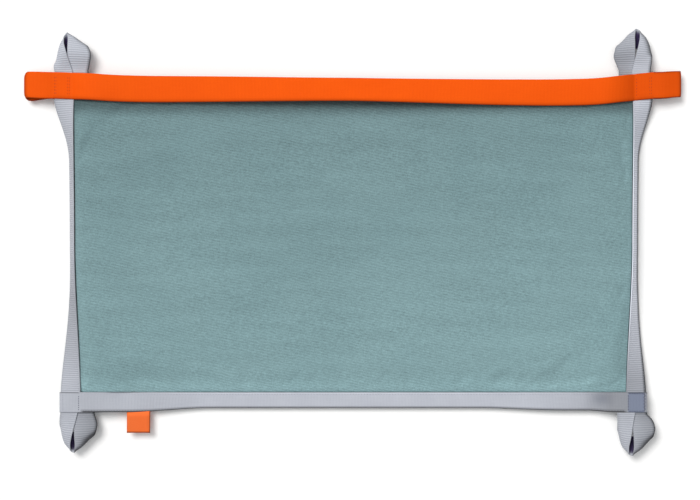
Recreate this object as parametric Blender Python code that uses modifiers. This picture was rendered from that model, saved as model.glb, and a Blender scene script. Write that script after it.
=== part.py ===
# Flat boat fender: a crowned foam pad in a two-panel canvas cover, edged with grey webbing.
# It lies on its back. Origin: middle of the back, on the floor. X runs along it, Y across.
import math

import bmesh
import bpy
from mathutils import Vector

mm = 0.001

# Pad: half sizes are to the inner edge of the webbing, where the canvas shows
pad_half_width = 417.4 * mm
top_corner_flare = 1.8 * mm
bottom_draw_in = 8.0 * mm
pad_half_height = 225.0 * mm
pad_thickness = 35.0 * mm
pad_crown = 3.0 * mm
seam_height = 18.0 * mm
shoulder_width = 11.0 * mm
shoulder_power = 2.2
face_blend_power = 6
top_rounding = 18.9 * mm
corner_pinch = 66.0 * mm
side_bulge = 3.2 * mm
seam_flange = 5.0 * mm
seam_gap = 1.3 * mm
lap_reach = 1.8 * mm
lap_drop_flat = 1.4 * mm
lap_drop_thick = 3.4 * mm
foot_height = 5.0 * mm
back_rounding = 7.0 * mm
top_flange = 2.0 * mm

# Materials that the fender is sewn from
cloth_thickness = 0.7 * mm
webbing_width = 30.0 * mm
webbing_thickness = 1.5 * mm
strap_width = 40.0 * mm
strap_thickness = 1.5 * mm
label_thickness = 0.9 * mm
layer_gap = 0.3 * mm
foam_clearance = 0.5 * mm
foam_ease = 10.0 * mm
foam_corner_cut = 34.0 * mm
foam_corner_power = 4
foam_edge_round = 4.0 * mm
foam_edge_power = 3
foam_side_room = 5.0 * mm
foam_cuts = 11

# Webbing that edges the pad, turned up where the pad is thick and flat at its corners
side_tilt = math.radians(72.0)
side_turn_top = (137.0 * mm, 217.0 * mm)
side_turn_bottom = (35.0 * mm, 225.0 * mm)
bottom_tilt = math.radians(42.0)
bottom_turn = (215.0 * mm, 384.0 * mm)
bottom_end_overhang = 1.0 * mm
bottom_rise = (345.0 * mm, 384.0 * mm)

# Orange carrying strap, sewn down at both ends and bowed over the top edge
strap_line = 235.2 * mm
strap_sewn_to = 421.0 * mm
strap_free_half = 372.0 * mm
strap_hinge_height = 38.0 * mm
strap_mid_height = 41.0 * mm
strap_mid_line = 227.5 * mm
strap_line_from = 330.0 * mm
strap_line_by = 440.0 * mm
strap_mid_tilt = math.radians(30.0)
strap_hinge_tilt = math.radians(10.0)
end_loop_clearance = 2.3 * mm
end_loop_length = 40.9 * mm
end_loop_left_extra = 2.1 * mm
end_loop_droop = 2.5 * mm
end_loop_upper_swell = 1.3 * mm
end_loop_lower_swell = 3.1 * mm
end_loop_level_share = 0.15
end_loop_nose = 2.6 * mm
end_tail_length = 18.0 * mm

# Flex lines, where a sewn layer turns as a hinge does
flex_inset = 0.75 * mm
flex_gap = 0.45 * mm
back_layer_start = 2.0 * mm
back_layer_setback = 1.3 * mm
edge_clearance = 1.3 * mm

# Corner loops: a band wrapped round a flattened cone whose point lies past the tip
loop_band_offset = 6.0 * mm
loop_layer_step = 2.3 * mm
loop_tail_length = 18.0 * mm
loop_flat_from = 26.0 * mm
loop_flat_by = 60.0 * mm
loop_sag = math.radians(3.0)
loop_layer_lift = math.radians(3.3)
loop_turn_half = 20.0 * mm
draw_pitch = 12.0 * mm
draw_full_share = 0.6
search_rounds = 40
leg_search_limit = 2.2

label_width = 34.0 * mm
label_length = 33.0 * mm
label_place = -322.0 * mm

canvas = ("canvas_sage", (0.205, 0.330, 0.345, 1.0), 0.85)
foam = ("foam_grey", (0.42, 0.42, 0.42, 1.0), 0.95)
grey_webbing = ("webbing_grey", (0.47, 0.49, 0.54, 1.0), 0.7)
orange_webbing = ("webbing_orange", (0.90, 0.13, 0.012, 1.0), 0.65)
orange_label = ("label_orange", (0.95, 0.16, 0.03, 1.0), 0.6)


def clamp(value, low=0.0, high=1.0):
    return max(low, min(high, value))


def smooth(start, end, value):
    t = clamp((value - start) / (end - start))
    return t * t * (3.0 - 2.0 * t)


def mix(a, b, t):
    return a + (b - a) * t


# Where the webbing runs

def turned_up(y):
    # 1 where the side webbing stands against the pad, 0 where it lies flat at a corner
    if y > 0.0:
        return 1.0 - smooth(side_turn_top[0], side_turn_top[1], y)
    return 1.0 - smooth(side_turn_bottom[0], side_turn_bottom[1], -y)


def side_angle(y):
    return side_tilt * turned_up(y)


def bottom_angle(x):
    return bottom_tilt * (1.0 - smooth(bottom_turn[0], bottom_turn[1], abs(x)))


def pad_edge_x(y):
    # the pad is a little wider at its top corners and drawn in at the bottom ones
    wide = top_corner_flare * smooth(0.0, pad_half_height, y)
    return pad_half_width + wide - bottom_draw_in * smooth(0.0, pad_half_height, -y)


def side_webbing_point(y, across):
    # across runs from the inner edge, 0, to the outer one, webbing_width
    tilt = side_angle(y)
    height = seam_height + (webbing_width / 2 - across) * math.sin(tilt)
    return pad_edge_x(y) + across * math.cos(tilt), height


def bottom_webbing_point(x, across):
    tilt = bottom_angle(x)
    height = seam_height + (webbing_width / 2 - across) * math.sin(tilt)
    return -pad_half_height - across * math.cos(tilt), height


# Heights of the pad's two faces

def pinch(tilt):
    # 0 where the edge is as thick as the pad, 1 where the corner is drawn flat
    return 1.0 - math.sin(tilt) / math.sin(side_tilt)


def crown_height(inset_x, inset_y):
    rise_x = 1.0 - (1.0 - clamp(inset_x / pad_half_width)) ** 2
    rise_y = 1.0 - (1.0 - clamp(inset_y / pad_half_height)) ** 2
    return pad_thickness + pad_crown * rise_x * rise_y


def shoulder(distance, reach):
    return (1.0 - clamp(distance / reach)) ** shoulder_power


def blended(a, b):
    # the larger of the two, rounded where they are alike
    return (a ** face_blend_power + b ** face_blend_power) ** (1 / face_blend_power)


def rolled(distance, reach):
    return 1.0 - math.sqrt(1.0 - (1.0 - clamp(distance / reach)) ** 2)


cloth_under_webbing = webbing_thickness / 2 + seam_gap + cloth_thickness / 2
lap_step = cloth_thickness + layer_gap


def edge_places(x, y):
    # tilt and height of the webbing's inner edge at the side, and at the top or bottom
    side = side_angle(y)
    side_height = seam_height + webbing_width / 2 * math.sin(side)
    if y > 0.0:
        return side, side_height, math.radians(90.0), seam_height
    end = bottom_angle(x)
    return side, side_height, end, seam_height + webbing_width / 2 * math.sin(end)


def front_height(x, y, inset_x, inset_y):
    side, side_height, end, end_height = edge_places(x, y)
    full = crown_height(inset_x, inset_y)
    under_side = side_height - cloth_under_webbing * math.cos(side)
    drop_side = (full - under_side) * shoulder(inset_x, shoulder_width + corner_pinch * pinch(side))
    if y > 0.0:
        seam = end_height + lap_step / 2
        drop_end = (full - seam) * rolled(inset_y, top_rounding)
    else:
        seam = end_height - cloth_under_webbing * math.cos(end)
        drop_end = (full - seam) * shoulder(inset_y, shoulder_width + corner_pinch * pinch(end))
    return full - blended(drop_side, drop_end)


def back_foot(tilt, edge_height):
    # height of the back panel's foot, where its side wall starts up to the seam
    return mix(edge_height - cloth_under_webbing - lap_drop_flat - lap_reach, foot_height, 1.0 - pinch(tilt))


def back_height(x, y, inset_x, inset_y):
    side, side_height, end, end_height = edge_places(x, y)
    flat = cloth_thickness / 2
    foot = back_foot(side, side_height)
    rise_side = (foot - flat) * shoulder(inset_x, back_rounding + corner_pinch * pinch(side))
    if y > 0.0:
        rise_end = (foot_height - flat) * rolled(inset_y, back_rounding)
    else:
        foot = back_foot(end, end_height)
        rise_end = (foot - flat) * shoulder(inset_y, back_rounding + corner_pinch * pinch(end))
    return flat + blended(rise_side, rise_end)


# Building blocks

def material(finish):
    name, colour, roughness = finish
    made = bpy.data.materials.get(name)
    if made is None:
        made = bpy.data.materials.new(name)
        made.use_nodes = True
        shader = made.node_tree.nodes["Principled BSDF"]
        shader.inputs["Base Color"].default_value = colour
        shader.inputs["Roughness"].default_value = roughness
        shader.inputs["Metallic"].default_value = 0.0
        made.diffuse_color = colour
    return made


def grid_sheet(name, columns, rows, place, thickness, finish, collection, even=True):
    # a Blender grid whose points are set by place(column value, row value), given a thickness
    sheet = bmesh.new()
    bmesh.ops.create_grid(sheet, x_segments=len(columns) - 1, y_segments=len(rows) - 1, size=1.0)
    for vert in sheet.verts:
        i = round((vert.co.x + 1.0) / 2.0 * (len(columns) - 1))
        j = round((vert.co.y + 1.0) / 2.0 * (len(rows) - 1))
        vert.co = Vector(place(columns[i], rows[j]))
    bmesh.ops.recalc_face_normals(sheet, faces=sheet.faces)
    return finish_object(name, sheet, thickness, finish, collection, even)


def finish_object(name, shape, thickness, finish, collection, even=True):
    mesh = bpy.data.meshes.new(name)
    shape.to_mesh(mesh)
    shape.free()
    mesh.shade_smooth()
    mesh.materials.append(material(finish))
    made = bpy.data.objects.new(name, mesh)
    collection.objects.link(made)
    if thickness > 0.0:
        solid = made.modifiers.new("thickness", "SOLIDIFY")
        solid.thickness = thickness
        solid.offset = 0.0
        solid.use_even_offset = even
    return made


def spaced(start, end, count):
    return [mix(start, end, i / count) for i in range(count + 1)]


def inset_steps(half_size):
    # distances in from the pad's edge, close together where it is rounded or twists
    ratios = [0.0, 0.012, 0.035, 0.09, 0.18, 0.27, 0.36, 0.46, 0.58, 0.74]
    return [half_size * ratio for ratio in ratios]


def both_sides(half_size):
    # the whole width as (side, inset) pairs; a negative inset is on the seam's flange
    steps = [-seam_flange] + inset_steps(half_size)
    near = [(-1, step) for step in steps]
    far = [(1, step) for step in reversed(steps)]
    return near + [(0, None)] + far


def matching(half_size, edge):
    # the same places as plain coordinates, so that webbing bends where the panels do
    near = [inset - edge for inset in inset_steps(half_size)]
    return near + [0.0] + [-value for value in reversed(near)]


# The pad

def plan_place(column, row):
    side, inset_x = column
    end, inset_y = row
    y = 0.0 if end == 0 else end * (pad_half_height - max(inset_y, 0.0))
    edge = pad_edge_x(y)
    x = 0.0 if side == 0 else edge - max(inset_x, 0.0)
    inset_x = edge if side == 0 else inset_x
    inset_y = pad_half_height if end == 0 else inset_y
    return side, end, x, y, inset_x, inset_y


def front_place(column, row):
    side, end, x, y, inset_x, inset_y = plan_place(column, row)
    z = front_height(x, y, max(inset_x, 0.0), max(inset_y, 0.0))
    tilt_x = side_angle(y)
    x -= cloth_under_webbing * math.sin(tilt_x) * shoulder(inset_x, shoulder_width)
    if inset_x < 0.0:
        x -= inset_x * math.cos(tilt_x)
        z += inset_x * math.sin(tilt_x)
    if end > 0 and inset_y < 0.0:
        y += top_flange
    if end < 0:
        tilt_y = bottom_angle(x)
        y += cloth_under_webbing * math.sin(tilt_y) * shoulder(inset_y, shoulder_width)
        if inset_y < 0.0:
            y += inset_y * math.cos(tilt_y)
            z += inset_y * math.sin(tilt_y)
    return side * x, y, z


def back_place(column, row):
    side, end, x, y, inset_x, inset_y = plan_place(column, row)
    tilt_x = side_angle(y)
    tilt_y = bottom_angle(x)
    thick_x = 1.0 - pinch(tilt_x)
    thick_y = 1.0 if y > 0.0 else 1.0 - pinch(tilt_y)
    thick = min(thick_x, thick_y)
    if inset_y < 0.0 <= inset_x:
        thick = thick_y
    if inset_x < 0.0 <= inset_y:
        thick = thick_x
    drop = mix(lap_drop_flat, lap_drop_thick, thick)
    lap = front_height(x, y, max(inset_x, 0.0), max(inset_y, 0.0)) - drop
    z = min(back_height(x, y, max(inset_x, 0.0), max(inset_y, 0.0)), lap - lap_reach)
    if inset_x < 0.0 or inset_y < 0.0:
        z = lap
    if inset_x < 0.0:
        x += lap_reach * math.cos(tilt_x) - (cloth_under_webbing + lap_step) * math.sin(tilt_x)
    else:
        x += side_bulge * thick_x * shoulder(inset_x, shoulder_width)
    if end < 0 and inset_y < 0.0:
        y -= lap_reach * math.cos(tilt_y) - (cloth_under_webbing + lap_step) * math.sin(tilt_y)
    elif end < 0:
        y -= side_bulge * thick_y * shoulder(inset_y, shoulder_width)
    elif inset_y >= 0.0:
        y -= end * lap_reach * shoulder(inset_y, shoulder_width)
    return side * x, y, z


def make_covers(collection):
    columns = both_sides(pad_half_width)
    rows = both_sides(pad_half_height)
    grid_sheet("cover_front", columns, rows, front_place, cloth_thickness, canvas, collection)
    grid_sheet("cover_back", columns, rows, back_place, cloth_thickness, canvas, collection, even=False)


def make_foam(collection):
    # a subdivided block pressed to the room between the two panels, with rounded corners
    block = bmesh.new()
    bmesh.ops.create_cube(block, size=2.0)
    bmesh.ops.subdivide_edges(block, edges=block.edges, cuts=foam_cuts, use_grid_fill=True)
    room = cloth_thickness / 2 + foam_clearance
    for vert in block.verts:
        u, v, w = vert.co
        u = math.sin(u * math.pi / 2)
        v = math.sin(v * math.pi / 2)
        inset = foam_edge_round * abs(w) ** foam_edge_power
        half_y = pad_half_height - foam_side_room - inset
        y = v * (half_y - foam_corner_cut * abs(u) ** foam_corner_power)
        half_x = pad_edge_x(y) - foam_side_room - inset
        x = abs(u) * (half_x - foam_corner_cut * abs(v) ** foam_corner_power)
        inset_x = pad_edge_x(y) - x - foam_ease
        inset_y = pad_half_height - abs(y) - foam_ease
        near_y = math.copysign(min(abs(y) + foam_ease, pad_half_height), y)
        top = front_height(x, near_y, inset_x, inset_y) - room
        bottom = back_height(x, near_y, inset_x, inset_y) + room
        vert.co = Vector((math.copysign(x, u), y, mix(bottom, top, (w + 1.0) / 2.0)))
    bmesh.ops.recalc_face_normals(block, faces=block.faces)
    finish_object("foam_core", block, 0.0, foam, collection)


# Straight webbing

strap_top_edge = strap_line + strap_width / 2
bottom_strip_edge = -pad_half_height - webbing_width
loop_axis_top = strap_top_edge + edge_clearance
loop_axis_bottom = bottom_strip_edge - edge_clearance
layer_pitch = webbing_thickness + layer_gap
strap_pitch = (webbing_thickness + strap_thickness) / 2 + layer_gap
strap_height = seam_height + strap_pitch
flex_end = flex_inset + flex_gap
bottom_end_height = seam_height + layer_pitch
right_tail_height = seam_height + loop_layer_step
right_end_height = right_tail_height + layer_pitch


def side_webbing(side, collection):
    name = "side_webbing_left" if side < 0 else "side_webbing_right"
    top = loop_axis_top - flex_end
    bottom = loop_axis_bottom + (flex_end if side < 0 else back_layer_setback)
    rows = [bottom] + matching(pad_half_height, pad_half_height) + [top]
    columns = spaced(0.0, webbing_width, 3)

    def place(across, y):
        x, z = side_webbing_point(clamp(y, -pad_half_height, pad_half_height), across)
        return side * x, y, z

    return grid_sheet(name, columns, rows, place, webbing_thickness, grey_webbing, collection)


def loop_tail(spec, middle, collection):
    # the sewn-down end of the band, under the strap or the bottom strip
    front = spec["tail_in_front"]
    height = right_tail_height if front else seam_height - loop_layer_step
    start = spec["axis"] - spec["end"] * (flex_end if front else back_layer_setback)
    stop = start - spec["end"] * loop_tail_length
    left = middle - webbing_width / 2

    def place(across, y):
        return left + across, y, height

    rows = spaced(min(start, stop), max(start, stop), 1)
    name = spec["name"].replace("loop", "loop_tail")
    return grid_sheet(name, spaced(0.0, webbing_width, 1), rows, place, webbing_thickness,
                      grey_webbing, collection)


def bottom_webbing(collection):
    corner = pad_edge_x(-pad_half_height)
    end = corner + webbing_width + bottom_end_overhang
    columns = [-end] + matching(pad_half_width, corner) + [end]
    rows = spaced(0.0, webbing_width, 3)

    def place(x, across):
        y, z = bottom_webbing_point(x, across)
        tilt = bottom_angle(x)
        level = bottom_end_height if x < 0.0 else right_end_height
        lift = smooth(bottom_rise[0], bottom_rise[1], abs(x))
        y = mix(y, -pad_half_height - across * math.cos(tilt), lift)
        return x, y, mix(z, level, lift)

    grid_sheet("bottom_webbing", columns, rows, place, webbing_thickness, grey_webbing, collection)


def label_axis():
    # the label turns just outside the bottom webbing's outer edge
    y, z = bottom_webbing_point(label_place, webbing_width)
    edge = y - webbing_thickness / 2 * math.sin(bottom_angle(label_place))
    return edge - layer_gap - label_thickness / 2 * math.sqrt(2.0), z


def side_label(collection):
    axis_y, axis_z = label_axis()

    def place(across, along):
        return label_place - label_width / 2 + across, axis_y + label_thickness / 2 - along, axis_z

    return grid_sheet("side_label", spaced(0.0, label_width, 2), spaced(0.0, label_length, 2), place,
                      label_thickness, orange_label, collection)


# Corner loops

def teardrop(spec):
    # directions from the cone's point to points along the band, as (azimuth, lift) in radians,
    # round an ellipse whose height makes the band's half turn come out at its true length
    narrow = -math.radians(spec["narrow_side"])
    wide = math.radians(spec["wide_side"])
    middle = (narrow + wide) / 2
    half = (wide - narrow) / 2
    first = math.acos((math.radians(spec["front_lean"]) - middle) / half)
    last = 2 * math.pi + math.acos((math.radians(spec["back_lean"]) - middle) / half)
    steps = 240

    def points(height):
        made = []
        for i in range(steps + 1):
            turn = mix(first, last, i / steps)
            azimuth = middle + half * math.cos(turn)
            lift = height * math.sin(turn) - loop_sag - loop_layer_lift * i / steps
            made.append(Vector((math.sin(azimuth) * math.cos(lift), math.cos(azimuth) * math.cos(lift),
                                math.sin(lift))))
        return made

    def length(made):
        return sum(a.angle(b) for a, b in zip(made, made[1:]))

    low, high = math.radians(1.0), math.radians(60.0)
    for _ in range(search_rounds):
        height = (low + high) / 2
        if length(points(height)) < math.pi:
            low = height
        else:
            high = height
    made = points(height)
    travelled = [0.0]
    for a, b in zip(made, made[1:]):
        travelled.append(travelled[-1] + a.angle(b))
    return made, travelled


def direction_at(section, angle):
    made, travelled = section
    want = clamp(angle + math.pi / 2, 0.0, travelled[-1])
    for i in range(1, len(travelled)):
        if travelled[i] >= want:
            part = (want - travelled[i - 1]) / max(travelled[i] - travelled[i - 1], 1e-9)
            return made[i - 1].lerp(made[i], part)
    return made[-1]


def band_point(spec, section, along, across):
    # along is negative on the front leg and positive on the back leg; across is from the cone's point
    reach = math.hypot(along, across)
    wrapped = reach * direction_at(section, math.atan2(along, across))
    if along < 0.0:
        lean = math.radians(spec["front_lean"])
        flat = Vector((-along * math.sin(lean) - across * math.cos(lean),
                       -along * math.cos(lean) + across * math.sin(lean), 0.0))
    else:
        lean = math.radians(spec["back_lean"])
        flat = Vector((along * math.sin(lean) + across * math.cos(lean),
                       along * math.cos(lean) - across * math.sin(lean), -loop_layer_step))
    return wrapped.lerp(flat, smooth(loop_flat_from, loop_flat_by, abs(along)))


def leg_end(spec, section, front, across, depth):
    # how far along its leg a thread of the band meets the flex line
    low, high = 0.0, leg_search_limit * depth
    for _ in range(search_rounds):
        along = (low + high) / 2
        if band_point(spec, section, -along if front else along, across).y < depth:
            low = along
        else:
            high = along
    return low


def drawn(table, y):
    # how far a leg is drawn sideways: a smooth curve through values at equal steps from the cone's point
    place = clamp(y / draw_pitch, 0.0, len(table) - 1.001)
    i = int(place)
    t = place - i
    a, b = table[i], table[i + 1]
    before = table[max(i - 1, 0)]
    after = table[min(i + 2, len(table) - 1)]
    bend = 2 * before - 5 * a + 4 * b - after
    twist = 3 * a - before - 3 * b + after
    return (a + ((b - before) * t + bend * t ** 2 + twist * t ** 3) / 2) * mm


def corner_loop(spec, collection):
    section = teardrop(spec)
    end = spec["end"]
    tip_x = spec["side"] * (pad_edge_x(end * pad_half_height) + spec["tip_out"])
    tip_y = spec["axis"] + end * spec["reach"]
    steps = 34

    def place(across, share):
        front_end = leg_end(spec, section, True, across, spec["reach"] + flex_inset)
        back_end = leg_end(spec, section, False, across, spec["reach"] - back_layer_start)
        along = mix(-front_end, back_end, share)
        point = band_point(spec, section, along, across)
        outer = clamp((across - loop_band_offset) / (draw_full_share * webbing_width))
        draw = mix(drawn(spec["front_draw"], point.y), drawn(spec["back_draw"], point.y),
                   smooth(-loop_turn_half, loop_turn_half, along))
        x = tip_x + spec["hand"] * point.x + outer * draw
        return x, tip_y - end * point.y, spec["height"] + point.z

    columns = spaced(loop_band_offset, loop_band_offset + webbing_width, 4)
    grid_sheet(spec["name"], columns, spaced(0.0, 1.0, steps), place, webbing_thickness,
               grey_webbing, collection)
    middle = (place(columns[0], 1.0)[0] + place(columns[-1], 1.0)[0]) / 2
    loop_tail(spec, middle, collection)


corner_loops = [
    {"name": "loop_top_left", "side": -1, "end": 1, "hand": 1, "axis": loop_axis_top,
     "tip_out": 14.4 * mm, "reach": 62.3 * mm, "narrow_side": 15.0, "wide_side": 53.5,
     "front_lean": 16.5, "back_lean": -1.0, "tail_in_front": False, "height": seam_height,
     "front_draw": (0.0, -0.9, -1.0, -0.4, 2.1, 3.8, 4.4), "back_draw": (0.0, 0.0, 1.4, 5.5, 3.9, 1.1, -1.6)},
    {"name": "loop_top_right", "side": 1, "end": 1, "hand": -1, "axis": loop_axis_top,
     "tip_out": 8.6 * mm, "reach": 68.8 * mm, "narrow_side": 26.0, "wide_side": 46.0,
     "front_lean": 13.0, "back_lean": -1.0, "tail_in_front": False, "height": seam_height,
     "front_draw": (0.0, 5.7, 3.4, 0.4, -3.7, -3.5, -2.5), "back_draw": (0.0, -0.9, 1.3, -0.6, -2.0, 2.5, 7.0)},
    {"name": "loop_bottom_left", "side": -1, "end": -1, "hand": 1, "axis": loop_axis_bottom,
     "tip_out": 13.1 * mm, "reach": 64.7 * mm, "narrow_side": 25.0, "wide_side": 45.0,
     "front_lean": 13.0, "back_lean": -3.0, "tail_in_front": False, "height": seam_height,
     "front_draw": (0.0, -4.5, -1.8, 1.5, 5.6, 5.3, 4.0), "back_draw": (0.0, 2.4, 0.9, 3.1, 5.3, 2.3, -0.9)},
    {"name": "loop_bottom_right", "side": 1, "end": -1, "hand": 1, "axis": loop_axis_bottom,
     "tip_out": 5.9 * mm, "reach": 69.3 * mm, "narrow_side": 27.0, "wide_side": 44.0,
     "front_lean": 11.0, "back_lean": -3.0, "tail_in_front": True, "height": right_tail_height,
     "front_draw": (0.0, -5.1, -1.7, 2.1, 6.0, 5.3, 3.2), "back_draw": (0.0, 3.2, 1.5, 2.2, 4.3, 2.2, -2.5)},
]


# Orange strap and its end loops

def strap_section(x):
    # centre line and tilt of the bowed strap, with its lower edge raised
    sewn = 1.0 - clamp((abs(x) - strap_free_half) / (strap_sewn_to - strap_free_half)) ** 2
    bow = 1.0 - smooth(0.0, strap_free_half, abs(x))
    line = mix(strap_mid_line, strap_line, smooth(strap_line_from, strap_line_by, abs(x)))
    height = mix(mix(strap_height, strap_hinge_height, sewn), strap_mid_height, bow)
    tilt = mix(strap_hinge_tilt * sewn, strap_mid_tilt, bow)
    return line, height, tilt


def strap_point(x, across):
    line, height, tilt = strap_section(x)
    return x, line + across * math.cos(tilt), height - across * math.sin(tilt)


def handle_strap(collection):
    half = strap_free_half - layer_gap / 2
    columns = spaced(-half, half, 30)
    rows = spaced(-strap_width / 2, strap_width / 2, 4)
    return grid_sheet("handle_strap", columns, rows, strap_point, strap_thickness, orange_webbing,
                      collection)


def end_loop_axis():
    return pad_edge_x(pad_half_height) + webbing_width + end_loop_clearance


def strap_anchor(side, collection):
    name = "strap_anchor_left" if side < 0 else "strap_anchor_right"
    inner = strap_free_half + layer_gap / 2
    outer = end_loop_axis() - flex_end
    rows = spaced(-strap_width / 2, strap_width / 2, 4)

    def front(x, across):
        _, y, z = strap_point(x, across)
        return side * x, y, z

    anchor = grid_sheet(name, spaced(inner, outer, 10), rows, front, strap_thickness, orange_webbing,
                        collection)
    tail_start = end_loop_axis() - back_layer_setback

    def back(x, across):
        return side * x, strap_line + across, seam_height - strap_pitch

    grid_sheet(name.replace("anchor", "tail"), spaced(tail_start - end_tail_length, tail_start, 1), rows,
               back, strap_thickness, orange_webbing, collection)
    return anchor


def end_loop(side, collection):
    # the strap runs on past its stitching, turns a round nose and comes back underneath
    name = "end_loop_left" if side < 0 else "end_loop_right"
    axis = end_loop_axis()
    rows = spaced(-strap_width / 2, strap_width / 2, 4)
    length = end_loop_length + (end_loop_left_extra if side < 0 else 0.0)
    nose_x = axis + length - end_loop_nose - strap_thickness / 2
    nose_z = strap_height - end_loop_droop - end_loop_nose
    lower_end = seam_height - strap_pitch
    steps = 9

    def profile(share):
        if share <= 1.0:
            x = mix(axis - flex_inset, nose_x, share)
            swell = math.sin(share * math.pi) * end_loop_upper_swell
            fall = smooth(end_loop_level_share, 1.0, share)
            return x, mix(strap_height, nose_z + end_loop_nose, fall) + swell
        if share <= 2.0:
            turn = (share - 1.0) * math.pi
            return nose_x + end_loop_nose * math.sin(turn), nose_z + end_loop_nose * math.cos(turn)
        back = share - 2.0
        x = mix(nose_x, axis + back_layer_start, back)
        swell = math.sin(back * math.pi) * end_loop_lower_swell
        rise = smooth(0.0, 1.0 - end_loop_level_share, back)
        return x, mix(nose_z - end_loop_nose, lower_end, rise) - swell

    def place(share, across):
        x, z = profile(share)
        return side * x, strap_line + across, z

    shares = spaced(0.0, 1.0, steps) + spaced(1.0, 2.0, 6)[1:] + spaced(2.0, 3.0, steps)[1:]
    return grid_sheet(name, shares, rows, place, strap_thickness, orange_webbing, collection)


def build():
    for made in list(bpy.data.objects):
        bpy.data.objects.remove(made)
    fender = bpy.data.collections.new("flat_boat_fender")
    bpy.context.scene.collection.children.link(fender)
    make_foam(fender)
    make_covers(fender)
    for side in (-1, 1):
        side_webbing(side, fender)
        strap_anchor(side, fender)
        end_loop(side, fender)
    bottom_webbing(fender)
    for spec in corner_loops:
        corner_loop(spec, fender)
    handle_strap(fender)
    side_label(fender)


build()
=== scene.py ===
import math

import bpy
import numpy as np
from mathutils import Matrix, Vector


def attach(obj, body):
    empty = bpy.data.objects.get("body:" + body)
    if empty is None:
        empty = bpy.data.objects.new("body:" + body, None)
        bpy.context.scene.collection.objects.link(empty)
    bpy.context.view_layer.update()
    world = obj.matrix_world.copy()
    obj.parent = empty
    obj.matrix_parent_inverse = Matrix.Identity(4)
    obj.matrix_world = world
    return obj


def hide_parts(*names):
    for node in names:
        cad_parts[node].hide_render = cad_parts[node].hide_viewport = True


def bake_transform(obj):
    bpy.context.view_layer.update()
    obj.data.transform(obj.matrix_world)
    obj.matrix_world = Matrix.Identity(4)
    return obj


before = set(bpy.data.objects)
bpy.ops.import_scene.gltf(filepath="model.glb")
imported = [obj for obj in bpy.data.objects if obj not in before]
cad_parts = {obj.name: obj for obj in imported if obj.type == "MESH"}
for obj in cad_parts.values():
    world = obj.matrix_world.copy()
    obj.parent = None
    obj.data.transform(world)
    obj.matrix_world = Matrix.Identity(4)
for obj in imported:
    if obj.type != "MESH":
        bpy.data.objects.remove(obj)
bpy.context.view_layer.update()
mm = 0.001
root = "fender"


def smooth(start, end, value):
    t = np.clip((np.asarray(value, float) - start) / (end - start), 0.0, 1.0)
    return t * t * (3.0 - 2.0 * t)


def mix(a, b, t):
    return a + (b - a) * t


# Materials

def put(tree, kind, inputs=None, **settings):
    made = tree.nodes.new(kind)
    for key, value in settings.items():
        setattr(made, key, value)
    for key, value in (inputs or {}).items():
        if isinstance(value, bpy.types.NodeSocket):
            tree.links.new(value, made.inputs[key])
        else:
            made.inputs[key].default_value = value
    return made


def calc(tree, operation, a, b=0.0, c=0.0):
    return put(tree, "ShaderNodeMath", {0: a, 1: b, 2: c}, operation=operation).outputs[0]


def blendColor(tree, factor, a, b, kind="MIX"):
    made = put(tree, "ShaderNodeMix", {0: factor, 6: a, 7: b}, data_type="RGBA", blend_type=kind)
    return made.outputs[2]


def ramp(tree, value, low, high, toLow=0.0, toHigh=1.0, shape="SMOOTHSTEP"):
    made = put(tree, "ShaderNodeMapRange", {0: value, 1: low, 2: high, 3: toLow, 4: toHigh},
               interpolation_type=shape)
    return made.outputs[0]


def startMaterial(name, roughness, sheen=0.0, specular=0.3):
    made = bpy.data.materials.new(name)
    made.use_nodes = True
    tree = made.node_tree
    shader = tree.nodes["Principled BSDF"]
    settings = {"Roughness": roughness, "Sheen Weight": sheen, "Sheen Roughness": 0.4,
                "Specular IOR Level": specular}
    for key, value in settings.items():
        shader.inputs[key].default_value = value
    return made, tree, shader


def wave(tree, value, pitch):
    return calc(tree, "SINE", calc(tree, "MULTIPLY", value, 2 * math.pi / pitch))


def noise(tree, vector, scale, detail=3.0, roughness=0.55):
    made = put(tree, "ShaderNodeTexNoise", {"Vector": vector, "Scale": scale, "Detail": detail,
                                            "Roughness": roughness})
    return made.outputs["Fac"]


def shaded(tree, color, level):
    grey = put(tree, "ShaderNodeCombineColor", {0: level, 1: level, 2: level}).outputs[0]
    return blendColor(tree, 1.0, color, grey, "MULTIPLY")


def bump(tree, height, strength, distance, normal=None):
    inputs = {"Strength": strength, "Distance": distance, "Height": height}
    if normal is not None:
        inputs["Normal"] = normal
    return put(tree, "ShaderNodeBump", inputs).outputs[0]


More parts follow.
